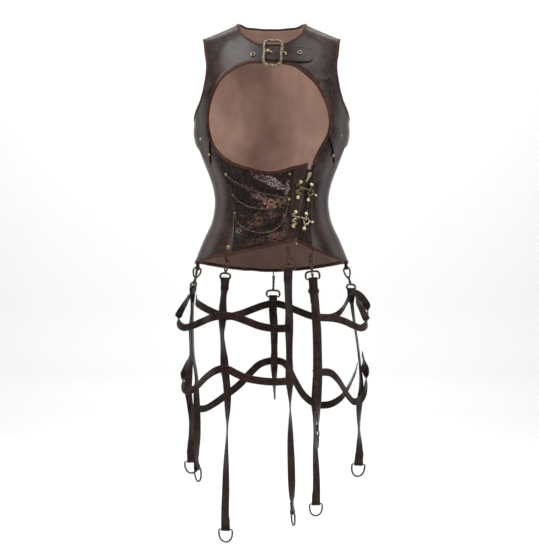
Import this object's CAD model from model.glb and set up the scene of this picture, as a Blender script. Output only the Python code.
# %% [markdown]
# # A sleeveless leather jacket
# This lesson dresses a hollow corset vest: panels of leather sewn edge to edge, bound edges, a
# slanted zip under two cast clasps, draped chains, and a cage of hanging straps and bands.
# The solid model is loaded first and stays where it is. Every finer piece is then made in the
# same place, because both are drawn from the same tables of sizes, in millimetres.

import math

import bmesh
import bpy
import numpy as np
from mathutils import Matrix, Vector


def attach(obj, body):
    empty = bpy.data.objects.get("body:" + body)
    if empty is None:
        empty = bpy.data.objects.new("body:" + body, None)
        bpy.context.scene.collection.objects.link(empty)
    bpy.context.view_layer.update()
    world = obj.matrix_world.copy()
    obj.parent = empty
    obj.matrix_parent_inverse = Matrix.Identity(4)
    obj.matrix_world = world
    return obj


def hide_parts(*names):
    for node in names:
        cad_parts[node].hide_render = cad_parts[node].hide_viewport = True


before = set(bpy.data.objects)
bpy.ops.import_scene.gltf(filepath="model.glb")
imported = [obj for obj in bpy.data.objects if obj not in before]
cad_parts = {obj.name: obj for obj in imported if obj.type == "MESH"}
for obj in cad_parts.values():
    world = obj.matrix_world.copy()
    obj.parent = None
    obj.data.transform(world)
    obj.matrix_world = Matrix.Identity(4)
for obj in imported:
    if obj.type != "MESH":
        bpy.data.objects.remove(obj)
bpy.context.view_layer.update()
MM = 0.001

# %% [markdown]
# ## The camera
# The jacket is seen level and from straight in front, from three metres away, so the lens is
# long and the straps keep their true lengths. The frame is 559 pixels high at 2.3 mm each.

# %% Camera
PIXEL = 2.3 * MM
FRAME_HIGH = 559 * PIXEL
SENSOR = 36
AWAY, AT_X, AT_Z = 3.0, -0.005, -0.567
lens = bpy.data.cameras.new("camera")
lens.sensor_fit = "VERTICAL"
lens.sensor_height = SENSOR
lens.lens = SENSOR * AWAY / FRAME_HIGH
camera = bpy.data.objects.new("camera", lens)
camera.location = (AT_X, -AWAY, AT_Z)
camera.rotation_euler = (math.pi / 2, 0, 0)
bpy.context.collection.objects.link(camera)
bpy.context.scene.camera = camera
bpy.context.scene.view_settings.view_transform = "Standard"  # paper stays white
print("lens:", round(lens.lens, 1), "mm")

# %% [markdown]
# ## The body's surface
# A pattern cutter works from a body form. Here it is a few measured sections, half width and
# depth by height, with a shoulder line over them. A place on it has a turn, 0 in front and 90
# degrees at the wearer's left, and a fall, 0 on the shoulder line and 1 where its rounding
# ends. numpy works on whole grids of places at once, which keeps fine cloth quick to make.

# %% Tables of the body
LEATHER, LINING, LINING_IN = 2, 1.2, 3.1  # walls, and the lining's place inside the back
BIND_WIDE, BIND_GAP, ZIP_WIDE = 7, 0.6, 7
LAP, LAP_TOP, LAP_FULL = 3.4, -205, -238  # how far the tabs stand out, and between which heights
SHOULDER, BOXY = 150, 0.1  # the shoulder's rounding, and how square the body is
SETTLE = 12  # rounds until a place that depends on itself has settled
# z, half, front, back
BODY = [
    (60, 182, 66, 90), (0, 182, 70, 95), (-50, 182, 82, 100), (-100, 182, 98, 104),
    (-150, 181, 110, 106), (-195, 178, 115, 105), (-246, 172.8, 112, 98), (-292, 157, 104, 90),
    (-327, 143.4, 98, 84), (-361, 132.8, 93, 80), (-393, 129.6, 90, 79), (-435, 136.5, 93, 86),
    (-476, 155, 99, 97), (-531, 176.5, 106, 108), (-570, 186, 110, 113),
]
# x, z
RIDGE = [(0, 36), (45, 33), (70, 23), (88, 13), (120, -1), (152, -14), (190, -30)]
# x1, z1, x2, z2, wide, high, back
FOLDS = [
    (96, -128, 150, -112, 9, 2.2, False), (-150, -150, -128, -128, 13, 1.8, False),
    (100, -372, 128, -352, 10, 1.6, False), (-126, -398, -98, -384, 10, 1.4, False),
    (98, -410, 130, -420, 9, 1.3, False), (-60, -378, 70, -392, 13, 1.6, True),
    (-90, -170, -20, -120, 18, 1.5, True), (90, -170, 20, -120, 18, 1.5, True),
]
# Softer creases that only the finished leather shows, in the same columns as the folds.
CREASES = [
    (106, -130, 134, -116, 4.5, 1.6, False),
    (-172, -232, -120, -252, 6, -1.4, False), (-168, -214, -126, -222, 5.1, 1.2, False),
    (118, -236, 168, -222, 6, -1.4, False), (124, -250, 166, -246, 5.1, 1, False),
    (98, -352, 128, -330, 6.8, -1.5, False), (104, -392, 128, -384, 6, -1.5, False),
    (96, -398, 122, -402, 6, 1.2, False), (-128, -372, -92, -362, 6.8, 1.4, False),
    (-128, -384, -96, -374, 5.1, -1.5, False), (-126, -412, -98, -404, 6, 1.2, False),
    (-122, -424, -96, -420, 5.1, -1.2, False), (120, -142, 150, -140, 5.1, -1.4, False),
    (-160, -172, -132, -140, 6.8, -1.2, False), (-118, -60, -96, -26, 8.5, 1.2, False),
    (112, -40, 92, -22, 7.6, 1.4, False), (70, -96, 112, -62, 9.3, 1, False),
    (-64, -84, -104, -60, 9.3, 1, False), (-60, -352, -10, -344, 7.6, 0.8, False),
    (-70, -430, 0, -452, 9.3, 0.9, False), (-40, -480, 20, -470, 6.8, 0.8, False),
    (-120, -372, -30, -380, 8.5, -1.7, True), (120, -374, 30, -386, 8.5, -1.7, True),
    (-112, -404, -30, -400, 7.6, 1.5, True), (112, -406, 24, -402, 7.6, 1.5, True),
    (-150, -200, -100, -150, 8.5, -1.4, True), (150, -200, 100, -150, 8.5, -1.4, True),
    (-24, -60, -26, -330, 14, 0.4, True), (24, -60, 26, -330, 14, 0.4, True),
    (-60, -520, -40, -440, 11.9, 1.2, True), (66, -520, 44, -446, 11.9, 1.2, True),
]
print(len(FOLDS), "folds and", len(CREASES), "creases")

# %% Reading a table smoothly, and the surface itself


def hermite(t, one, other, leave, arrive):
    """A cubic from one value to another that leaves and arrives with the given slopes."""
    return (
        (2 * t**3 - 3 * t**2 + 1) * one
        + (t**3 - 2 * t**2 + t) * leave
        + (3 * t**2 - 2 * t**3) * other
        + (t**3 - t**2) * arrive
    )


def read(rows, at, column=1):
    """Reads a column of a table smoothly at any value of its first column."""
    k, v = np.array([[r[0], r[column]] for r in rows], float).T
    if k[0] > k[-1]:
        k, v = k[::-1], v[::-1]
    x = np.clip(at, k[0], k[-1])
    i = np.clip(np.searchsorted(k, x, side="right") - 1, 0, len(k) - 2)
    n = np.arange(len(k))
    before, after = np.maximum(n - 1, 0), np.minimum(n + 1, len(k) - 1)
    slope = (v[after] - v[before]) / (k[after] - k[before])
    span = k[i + 1] - k[i]
    return hermite((x - k[i]) / span, v[i], v[i + 1], span * slope[i], span * slope[i + 1])


def fall_depth(q):
    """How far below the shoulder line a fall reaches."""
    rounded, straight = 1 - np.cos(q * np.pi / 2), 1 + (q - 1) * np.pi / 2
    return SHOULDER * np.where(q < 1, rounded, straight)


def relief(x, z, behind):
    """How far the folds and creases stand out at a point."""
    total = np.zeros_like(x)
    for x1, z1, x2, z2, wide, high, back in FOLDS + CREASES:
        dx, dz = x2 - x1, z2 - z1
        t = np.clip(((x - x1) * dx + (z - z1) * dz) / (dx * dx + dz * dz), 0, 1)
        off = np.hypot(x - x1 - t * dx, z - z1 - t * dz)
        total += np.where(behind == back, high * np.exp(-((off / wide) ** 2)), 0)
    return total


def on_body(u):
    """The point of each place, by its turn and its fall."""
    a, q = u[..., 0], u[..., 1]
    x, z = np.zeros_like(a), -fall_depth(q)
    for _ in range(SETTLE):
        x = read(BODY, z, 1) * np.sin(a)
        z = read(RIDGE, np.abs(x)) - fall_depth(q)
    behind = np.cos(a) < 0
    depth = np.where(behind, read(BODY, z, 3), read(BODY, z, 2))
    fuller = 1 + BOXY * np.sin(2 * a) ** 2
    rounded = np.where(q < 1, np.sin(q * np.pi / 2), 1)
    y = -depth * np.cos(a) * fuller * rounded - relief(x, z, behind) * np.cos(a)
    return np.stack([x, y, z], -1)


def place(x, z, behind=False):
    """The place on the surface at x and z, on its front or its back."""
    x, z = np.asarray(x, float), np.asarray(z, float)
    a = np.arcsin(np.clip(x / read(BODY, z, 1), -1, 1))
    down = np.maximum(0, read(RIDGE, np.abs(x)) - z) / SHOULDER
    rounded = 2 / np.pi * np.arccos(1 - np.minimum(down, 1))
    q = np.where(down < 1, rounded, 1 + (down - 1) * 2 / np.pi)
    return np.stack([np.pi - a if behind else a, q], -1)


def at_side(sign, z):
    """The place at the very side of the body, at a height."""
    return np.array([sign * np.pi / 2, place(read(BODY, z, 1), z)[1]])


def unit(v):
    return v / np.maximum(np.linalg.norm(v, axis=-1, keepdims=True), 1e-12)


def stand(u):
    """Places with their points, the way out of the surface, and its slopes by turn and fall."""
    e = 1e-3
    da = (on_body(u + [e, 0]) - on_body(u - [e, 0])) / (2 * e)
    dq = (on_body(u + [0, e]) - on_body(u - [0, e])) / (2 * e)
    return {"u": u, "p": on_body(u), "n": unit(np.cross(dq, da)), "da": da, "dq": dq}


print("front middle of the waist:", on_body(place(0, -393)).round(1))

# %% [markdown]
# ## Lines on the surface
# A free edge is a smooth line through a few places. `trace` cuts it into even steps, and each
# step gets the direction that lies in the cloth, square to the edge. A bound edge, a row of
# stitches and the panel beside them all start from that one line, so they never drift apart.

# %% Lines, edges and the way in from an edge

LINE_STEPS = 16  # fine steps between two places of a line
INWARD_STEPS = 3


def lengths(points):
    """How far along a row of points each of them lies."""
    return np.concatenate([[0], np.cumsum(np.linalg.norm(np.diff(points, axis=0), axis=1))])


def heading(points, loop=False):
    """The direction of a row of points at each of them."""
    ahead = np.roll(points, -1, 0) if loop else np.concatenate([points[1:], points[-1:]])
    back = np.roll(points, 1, 0) if loop else np.concatenate([points[:1], points[:-1]])
    return unit(ahead - back)


def line_through(places):
    """A smooth line through places, with its length and the mark of each given place."""
    P = np.array(places, float)
    t = np.arange(1, LINE_STEPS + 1)[:, None] / LINE_STEPS
    at = lambda i: P[min(max(i, 0), len(P) - 1)]
    rows = [P[:1]]
    for k in range(len(P) - 1):
        b, c = at(k), at(k + 1)
        rows.append(hermite(t, b, c, (c - at(k - 1)) / 2, (at(k + 2) - b) / 2))
    u = np.concatenate(rows)
    u[:, 1] = np.maximum(u[:, 1], 0)
    length = lengths(on_body(u))
    return {"u": u, "length": length, "marks": length[::LINE_STEPS]}


def trace(line, start, end, count):
    """A stretch of a line in even steps."""
    at = np.linspace(start, end, count + 1)
    return np.stack([np.interp(at, line["length"], line["u"][:, k]) for k in (0, 1)], -1)


def edge_of(u, sign, loop):
    """A line of places as an edge, with the way into the cloth at each."""
    s = stand(u)
    s["inward"] = unit(np.cross(heading(s["p"], loop), s["n"])) * sign
    return s


def inside(s, by=BIND_WIDE + BIND_GAP):
    """Places a given way in from an edge, along the surface."""
    dot = lambda v, w: (v * w).sum(-1)
    here, step = s, s["inward"] * by / INWARD_STEPS
    for _ in range(INWARD_STEPS):
        da, dq = here["da"], here["dq"]
        aa, aq, qq = dot(da, da), dot(da, dq), dot(dq, dq)
        sa, sq = dot(da, step), dot(dq, step)
        det = aa * qq - aq * aq
        move = np.stack([(sa * qq - sq * aq) / det, (sq * aa - sa * aq) / det], -1)
        here = stand(here["u"] + move)
    return here["u"].copy()


def some(s, part):
    """A part of an edge."""
    return {k: v[part] for k, v in s.items()}


# %% Tables of the free edges and seams
# x, z
NECK_FRONT = [(76, 20), (69, -2), (62, -12), (52, -22), (35, -33), (18, -37.5), (0, -38.5)]
# x, z
NECK_BACK = [(76, 20), (58, 19), (30, 18), (0, 17.5)]
# x, z
ARMHOLE_FRONT = [
    (159, -16.7), (153, -50), (148.5, -77), (148.5, -98), (151.5, -122), (157, -148), (167, -173),
]
# x, z
ARMHOLE_BACK = [(165, -173), (156, -148), (149, -118), (147, -88), (150, -52), (159, -16.7)]
# x, z
BUST = [
    (79.5, -306.3), (51, -314), (0, -325.8), (-50, -317), (-99, -297), (-125, -270.5),
    (-134, -251), (-141, -203), (-130, -154), (-104, -113), (-66, -90), (-30, -85), (0, -85),
    (30, -87.5), (62, -101), (97.5, -134), (122, -182), (127.8, -215), (122.5, -243),
    (103, -279), (90, -307),
]
BUST_TAB_RIGHT, BUST_TOP, BUST_TAB_LEFT = 6, 12, 18  # rows at both tabs and at the top
# x, z
HEM_FRONT = [
    (-176, -529.5), (-148, -523.5), (-110, -516.5), (-49, -505.5), (23, -489), (54, -485),
    (83, -497), (120, -513), (158, -526), (176, -529.5),
]
# x, z
HEM_BACK = [(0, -549), (60, -546.5), (115, -540), (176, -529.5)]
# z, x
SEAM_RIGHT = [
    (-270, -122), (-296, -113), (-318, -103.5), (-335, -94.5), (-352, -88), (-422, -84.5),
    (-530, -86),
]
# z, x
SEAM_PLACKET = [(-290, 52), (-378, 43), (-434, 36.2), (-530, 25)]
# z, x
ZIP_LINE = [(-290, 85.4), (-322, 83.2), (-389, 74.5), (-445, 60.5), (-530, 41)]
# z, x
SEAM_LEFT = [(-270, 102), (-345, 91), (-389, 87.5), (-530, 85)]
# x, z
TAB_RIGHT = [(-162.5, -270), (-152, -289), (-144, -302), (-136.5, -306)]
# x, z
TAB_LEFT = [(163, -266), (156, -280), (147.5, -297), (139, -303)]
UNDERARM, HEM_SIDE, TAB_SIDE, CORSET_SIDE, ZIP_HEAD = -197, -530.5, -258, -240, -314
FINE = 4  # fine cells to each cell of the solid model
NECK_CELLS, RIDGE_CELLS, ARM_CELLS, SIDE_CELLS, TAB_CELLS = 20, 12, 24, 8, 16
SEAM_ROWS, YOKE_ROWS, BACK_ROWS = 40, 20, (12, 12, 12)
print("hem from", HEM_SIDE, "at the sides")

# %% The free edges


def at_ridge(x):
    """The place on the shoulder line."""
    return np.array([place(x, 0)[0], 0.0])


def turned(u):
    """The same place seen from behind."""
    return np.array([np.pi - u[0], u[1]])


def mirrored(rows):
    return [(-r[0], r[1]) for r in rows]


def neck_line(rows, sign, behind=False):
    """From one shoulder line to the other, through a table of half the neck."""
    turn = turned if behind else np.array
    flip = lambda way: [(way * x, z) for x, z in rows]
    places = flip(sign)[1:] + flip(-sign)[::-1][1:-1]
    first, last = (turn(at_ridge(way * rows[0][0])) for way in (sign, -sign))
    return line_through([first] + [place(x, z, behind) for x, z in places] + [last])


front_line, back_line = neck_line(NECK_FRONT, 1), neck_line(NECK_BACK, -1, behind=True)
neck = edge_of(
    np.concatenate([
        trace(front_line, 0, front_line["marks"][-1], 2 * NECK_CELLS),
        trace(back_line, 0, back_line["marks"][-1], 2 * NECK_CELLS)[1:-1],
    ]),
    -1,
    True,
)


def armhole(sign):
    """From the shoulder down the front, round under the arm and up behind."""
    flip = mirrored if sign < 0 else list
    from_right = lambda u: u - [2 * np.pi, 0] if sign < 0 and u[0] > 0 else u
    down = [place(x, z) for x, z in flip(ARMHOLE_FRONT)[1:]]
    up = [from_right(place(x, z, True)) for x, z in flip(ARMHOLE_BACK)[:-1]]
    tip = at_ridge(sign * ARMHOLE_FRONT[0][0])
    line = line_through([tip] + down + [at_side(sign, UNDERARM)] + up + [from_right(turned(tip))])
    middle, end = line["marks"][len(down) + 1], line["marks"][-1]
    u = [trace(line, 0, middle, ARM_CELLS), trace(line, middle, end, ARM_CELLS)[1:-1]]
    return edge_of(np.concatenate(u), sign, True)


arm = {1: armhole(1), -1: armhole(-1)}
bust_line = line_through([place(x, z) for x, z in BUST])
tab_right_at, top_at, tab_left_at = (
    bust_line["marks"][row] for row in (BUST_TAB_RIGHT, BUST_TOP, BUST_TAB_LEFT)
)
# Stretches of a yoke's outer edge: cells, and how far round the bust opening each reaches.
YOKE_PARTS = [
    (NECK_CELLS, 0.36), (RIDGE_CELLS, 0.51), (ARM_CELLS, 0.74), (SIDE_CELLS, 0.88), (TAB_CELLS, 1)
]
YOKE_CELLS = sum(cells for cells, _ in YOKE_PARTS)


def bust_to_tab(tab_at):
    """The bust opening from its top to a tab, in the steps of the yoke outside it."""
    rows, reached = [], 0
    for cells, reach in YOKE_PARTS:
        ends = [top_at + (tab_at - top_at) * r for r in (reached, reach)]
        rows.append(trace(bust_line, *ends, cells)[0 if reached == 0 else 1:])
        reached = reach
    return np.concatenate(rows)


CORSET_RIGHT, CORSET_LEFT, HEM_CELLS = 60, 20, 240
ZIP_FOOT = -488
bust = edge_of(
    np.concatenate([
        trace(bust_line, 0, tab_right_at, CORSET_RIGHT)[:-1],
        bust_to_tab(tab_right_at)[::-1],
        bust_to_tab(tab_left_at)[1:],
        trace(bust_line, tab_left_at, bust_line["marks"][-1], CORSET_LEFT)[1:],
    ]),
    -1,
    False,
)
top_index = CORSET_RIGHT + YOKE_CELLS
zip_at = lambda z: read(ZIP_LINE, z)
on_hem = lambda x: place(x, read(HEM_FRONT, x))
full = lambda u: u + [2 * np.pi, 0]
HEM_LEFT = [68, 83, 101, 120, 140, 158, 170]
HEM_BEHIND = [165, 140, 115, 88, 60, 30, 0, -30, -60, -88, -115, -140, -165]
HEM_RIGHT = [-170, -158, -140, -120, -95, -72, -49, -25, 0, 23]
hem_line = line_through(
    [on_hem(x) for x in [zip_at(ZIP_FOOT) + ZIP_WIDE / 2] + HEM_LEFT]
    + [at_side(1, HEM_SIDE)]
    + [place(x, read(HEM_BACK, abs(x)), True) for x in HEM_BEHIND]
    + [full(at_side(-1, HEM_SIDE))]
    + [full(on_hem(x)) for x in HEM_RIGHT + [zip_at(ZIP_FOOT) - ZIP_WIDE / 2]]
)
hem = edge_of(trace(hem_line, 0, hem_line["marks"][-1], HEM_CELLS), -1, False)
around = {"bust opening": bust_line, "hem": hem_line}
print({name: round(line["marks"][-1]) for name, line in around.items()}, "mm round")

# %% [markdown]
# ## The pattern pieces
# Each panel is a grid of places between its edges, the way a pattern piece is drawn between
# seam lines. The corset's five front pieces share their seams, the yokes run from the neck
# over the shoulder and down the armhole to a pointed tab, and the back is cut in one.

# %% The corset's panels
TUCK = 4  # how far from the edge the leather ends, under its binding
clear = lambda s: inside(s, TUCK)
sort_by_turn = lambda u: u[np.argsort(u[:, 0])]
top_right = sort_by_turn(clear(some(bust, slice(0, CORSET_RIGHT + 1))))
top_left = sort_by_turn(clear(some(bust, slice(-CORSET_LEFT - 1, None))))
top_left = np.concatenate([[place(zip_at(ZIP_HEAD), ZIP_HEAD)], top_left])
zip_turn = lambda z: place(zip_at(z), z)[0]
zip_top, zip_foot = zip_turn(-312), zip_turn(ZIP_FOOT)
hem_clear = clear(hem)


def hem_fall(a):
    return read(hem_clear, np.where(a < zip_foot, a + 2 * np.pi, a))


def corset_top(a):
    """The fall of the corset's top edge at a turn: the bust opening, then a rise to each side."""
    a = np.asarray(a, float)
    on_right = a < zip_top
    q = np.where(on_right, read(top_right, a), read(top_left, a))
    for tab in (top_right[0], top_left[-1]):
        side = at_side(np.sign(tab[0]), CORSET_SIDE)
        t = np.clip((a - tab[0]) / (side[0] - tab[0]), 0, 1)
        beyond = (np.sign(a) == np.sign(tab[0])) & (np.abs(a) > abs(tab[0]))
        q = np.where(beyond, tab[1] + (side[1] - tab[1]) * t * t * (3 - 2 * t), q)
    return q


def seam(table, shift=0.0):
    """A seam from the corset's top edge to its hem, by a table or at one turn."""
    t = np.linspace(0, 1, SEAM_ROWS + 1)
    if isinstance(table, float):
        a = table
        return np.stack([np.full_like(t, a), corset_top(a) * (1 - t) + hem_fall(a) * t], -1)
    turn_at = lambda z: place(read(table, z) + shift, z)[..., 0]

    def meet(fall, z):
        for _ in range(SETTLE):
            z = on_body(np.array([turn_at(z), fall(turn_at(z))]))[2]
        return z

    top, bottom = meet(corset_top, -300.0), meet(hem_fall, -500.0)
    q0, q1 = corset_top(turn_at(top)), hem_fall(turn_at(bottom))
    return np.stack([turn_at(top + (bottom - top) * t), q0 + (q1 - q0) * t], -1)


def corset_panel(one, other, columns):
    """A grid between two seams whose ends follow the corset's top edge and its hem."""
    v = np.linspace(0, 1, SEAM_ROWS + 1)[:, None]
    s = np.linspace(0, 1, columns + 1)[None, :]
    lerp = lambda x, y, t: x + (y - x) * t
    top = corset_top(lerp(one[0, 0], other[0, 0], s))
    foot = hem_fall(lerp(one[-1, 0], other[-1, 0], s))
    rim = lerp(lerp(one[0, 1], one[-1, 1], v), lerp(other[0, 1], other[-1, 1], v), s)
    a = lerp(one[:, :1], other[:, :1], s)
    return np.stack([a, lerp(one[:, 1:], other[:, 1:], s) + lerp(top, foot, v) - rim], -1)


half_zip = ZIP_WIDE / 2 + 0.3
side_right_seam, side_left_seam = seam(-np.pi / 2), seam(np.pi / 2)
right_seam, placket_seam, left_seam = seam(SEAM_RIGHT), seam(SEAM_PLACKET), seam(SEAM_LEFT)
zip_right, zip_left = seam(ZIP_LINE, -half_zip), seam(ZIP_LINE, half_zip)
grids = {
    "side_right": corset_panel(side_right_seam, right_seam, 28),
    "front_panel": corset_panel(right_seam, placket_seam, 36),
    "placket_right": corset_panel(placket_seam, zip_right, 8),
    "placket_left": corset_panel(zip_left, left_seam, 8),
    "side_left": corset_panel(left_seam, side_left_seam, 28),
}
print({name: grid.shape[:2] for name, grid in grids.items()})

# %% The yokes and the back


def between(one, other, count):
    """Even rows from one curve to another."""
    t = np.linspace(0, 1, count + 1)[:, None, None]
    return one[None] * (1 - t) + other[None] * t


def yoke(sign, tab_rows, bust_edge):
    """From the bust opening out to the neck, shoulder, armhole and tab."""
    part = slice(NECK_CELLS, None, -1) if sign > 0 else slice(NECK_CELLS, 2 * NECK_CELLS + 1)
    neck_part = inside(some(neck, part), TUCK)
    down = inside(some(arm[sign], slice(0, ARM_CELLS + 1)), TUCK)
    neck_part[0, 0], down[-1, 0] = 0, sign * np.pi / 2
    ridge = between(neck_part[-1:], down[:1], RIDGE_CELLS)[:, 0]
    t = np.linspace(0, 1, SIDE_CELLS + 1)
    turn, fall = down[-1]
    fall = fall + (at_side(sign, TAB_SIDE)[1] - fall) * t
    side = np.stack([np.full_like(t, turn), fall], -1)
    tab = line_through([side[-1]] + [place(x, z) for x, z in tab_rows])["u"][:: LINE_STEPS // FINE]
    outer = np.concatenate([neck_part, ridge[1:], down[1:], side[1:], tab[1:]])
    inner = inside(bust_edge, TUCK)
    inner[0, 0] = 0
    return between(inner, outer, YOKE_ROWS)


right_part = slice(top_index, CORSET_RIGHT - 1, -1)
left_part = slice(top_index, top_index + YOKE_CELLS + 1)
grids["yoke_right"] = yoke(-1, TAB_RIGHT, some(bust, right_part))
grids["yoke_left"] = yoke(1, TAB_LEFT, some(bust, left_part))


CHEST, WAIST, FAN_LEFT = -230, -393, 0.35  # the columns fan out less at the chest


def back_grid():
    """The back, from the neck and shoulders down to the hem, as columns between four curves."""

    def behind(s):
        u = s["u"].copy()
        on_ridge = u[:, 1] <= 1e-6
        u[on_ridge, 0] = np.pi - np.arcsin(np.sin(u[on_ridge, 0]))
        return {**stand(u), "inward": s["inward"]}

    loop_back = np.r_[2 * NECK_CELLS:4 * NECK_CELLS, 0]
    neck_part = inside(behind(some(neck, loop_back[: NECK_CELLS + 1][::-1])), TUCK)
    left_neck = np.stack([2 * np.pi - neck_part[:, 0], neck_part[:, 1]], -1)
    left_arm = inside(behind(some(arm[1], np.r_[0, 2 * ARM_CELLS - 1:ARM_CELLS - 1:-1])), TUCK)
    left_neck[0, 0], left_arm[-1, 0] = np.pi, np.pi / 2
    ridge = between(left_neck[-1:], left_arm[:1], RIDGE_CELLS)[:, 0]
    half_top = np.concatenate([left_neck, ridge[1:], left_arm[1:]])
    other = np.stack([2 * np.pi - half_top[1:, 0], half_top[1:, 1]], -1)
    top = np.concatenate([half_top[::-1], other])
    across = np.linspace(np.pi / 2, 3 * np.pi / 2, len(top))
    at_height = lambda z: place(read(BODY, z, 1) * np.sin(across), np.full_like(across, z), True)
    chest = np.stack([across + (top[:, 0] - across) * FAN_LEFT, at_height(CHEST)[:, 1]], -1)
    waist = np.stack([across, at_height(WAIST)[:, 1]], -1)
    bottom = np.stack([across, hem_fall(across)], -1)
    curves = [top, chest, waist, bottom]
    return np.concatenate([
        between(curves[i], curves[i + 1], n)[0 if i == 0 else 1:] for i, n in enumerate(BACK_ROWS)
    ])


grids["back"] = back_grid()
print({name: grid.shape[:2] for name, grid in grids.items()})

# %% [markdown]
# ## The draped chains, drawn first
# Three fine chains hang in front of the corset from small rivets. A chain has no stiffness of
# its own, so each line is drawn on the surface and then declared as a free cord, and the links
# are set along it further down.

# %% Spots on the front, and the chains' lines


def spot(x, z, out=0.0, behind=False):
    """A point on or above the surface, with the ways right, down and out there."""
    s = stand(place(x, z, behind))
    right = unit(s["da"])
    down = unit(s["dq"] - (s["dq"] * right).sum(-1, keepdims=True) * right)
    return {**s, "p": s["p"] + s["n"] * out, "right": right, "down": down}


def at_spot(s, right, down, out=0.0):
    return s["p"] + s["right"] * right + s["down"] * down + s["n"] * out


SPLINE_STEPS = 24  # fine steps between two points of a spline


def smooth_run(points, every, twist=None):
    """A centripetal spline through points, cut into even steps, with its direction there."""
    P = np.array(points, float)
    ends = np.concatenate([[2 * P[0] - P[1]], P, [2 * P[-1] - P[-2]]])
    t = (np.arange(1, SPLINE_STEPS + 1) / SPLINE_STEPS)[:, None]
    fine = [P[:1]]
    for k in range(len(P) - 1):
        a, b, c, d = ends[k : k + 4]
        t0, t1, t2 = (np.linalg.norm(v) ** 0.5 for v in (b - a, c - b, d - c))
        u = ((b - a) / t0 - (c - a) / (t0 + t1) + (c - b) / t1) * t1
        v = ((c - b) / t1 - (d - b) / (t1 + t2) + (d - c) / t2) * t1
        fine.append(hermite(t, b, c, u, v))
    fine = np.concatenate(fine)
    length = lengths(fine)
    at = np.linspace(0, length[-1], int(np.ceil(length[-1] / every)) + 1)
    p = np.stack([np.interp(at, length, column) for column in fine.T], -1)
    if twist is None:
        return p, heading(p)
    share = np.interp(at, length, np.arange(len(fine)) / SPLINE_STEPS)
    return p, heading(p), read(list(enumerate(twist)), share)


CHAIN_WIRE, LINK_EVERY, CHAIN_CLEAR = 1.75, 3.6, 0.9
CHAINS = {
    "upper": [
        (-97, -335), (-86, -345), (-70, -354), (-48, -366), (-22, -374), (7, -380), (31, -384),
    ],
    "middle": [
        (-86, -377), (-75, -390), (-57, -402), (-35, -408.5), (-10, -409.5), (13, -404),
        (30, -391),
    ],
    "lower": [
        (-82, -418), (-77, -437), (-62, -452), (-44, -460), (-22, -463.5), (2, -459), (20, -446),
        (31, -424), (36, -397),
    ],
}
CHAIN_OUT = LEATHER / 2 + CHAIN_CLEAR + CHAIN_WIRE
chain_paths = {}
for name, rows in CHAINS.items():
    dots = [spot(x, z, CHAIN_OUT)["p"] for x, z in rows]
    chain_paths[name] = smooth_run(dots, LINK_EVERY)
    print("chain", name, "has", len(chain_paths[name][0]), "links")

# %% [markdown]
# ## Materials
# Leather is a grain over a soft colour change, so one node group makes both, and every leather
# uses it with its own colour. The crackled leather adds torn, metallic flakes. Cloth groups
# only give colours and values; the shader itself stays in each material.

# %% Helpers for materials


def sun(*rgb):
    """An eye's colour, 0 to 255, as light."""
    light = [((c / 255 + 0.055) / 1.055) ** 2.4 if c > 10 else c / 255 / 12.92 for c in rgb]
    return (*light, 1.0)


def group(name, inputs, outputs):
    """An empty node group with named inputs and outputs."""
    tree = bpy.data.node_groups.new(name, "ShaderNodeTree")
    for kind, label, value in inputs:
        socket = tree.interface.new_socket(label, in_out="INPUT", socket_type="NodeSocket" + kind)
        if value is not None:
            socket.default_value = value
    for kind, label in outputs:
        tree.interface.new_socket(label, in_out="OUTPUT", socket_type="NodeSocket" + kind)
    return tree, tree.nodes.new("NodeGroupInput"), tree.nodes.new("NodeGroupOutput")


def plug(tree, socket, value):
    """Links another socket to this one, or sets its value."""
    if isinstance(value, bpy.types.NodeSocket):
        tree.links.new(value, socket)
    else:
        socket.default_value = value


def node(tree, kind, links=None, **settings):
    made = tree.nodes.new("ShaderNode" + kind)
    for key, value in settings.items():
        setattr(made, key, value)
    for key, value in (links or {}).items():
        plug(tree, made.inputs[key], value)
    return made


def maths(tree, operation, *values, kind="Math", out=0):
    """One sum on values or sockets; kind "VectorMath" does it on vectors."""
    return node(tree, kind, dict(enumerate(values)), operation=operation).outputs[out]


def noise(tree, where, scale, detail, roughness=0.5):
    links = {"Vector": where, "Scale": scale, "Detail": detail, "Roughness": roughness}
    return node(tree, "TexNoise", links).outputs[0]


def mix(tree, share, one, other, blend="MIX"):
    made = node(tree, "Mix", data_type="RGBA", blend_type=blend)
    for index, value in ((0, share), (6, one), (7, other)):
        plug(tree, made.inputs[index], value)
    return made.outputs[2]


def level(tree, value, low, high, to_low=0.0, to_high=1.0):
    """Stretches a value from one range to another and keeps it inside."""
    links = {"Value": value, "From Min": low, "From Max": high, "To Min": to_low, "To Max": to_high}
    return node(tree, "MapRange", links, clamp=True).outputs[0]


def hand_out(tree, out, **values):
    """Links a group's results to its outputs."""
    for key, value in values.items():
        tree.links.new(value, out.inputs[key])


def use_group(tree, inner, values=None):
    made = tree.nodes.new("ShaderNodeGroup")
    made.node_tree = inner
    for key, value in (values or {}).items():
        made.inputs[key].default_value = value
    return made


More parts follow.
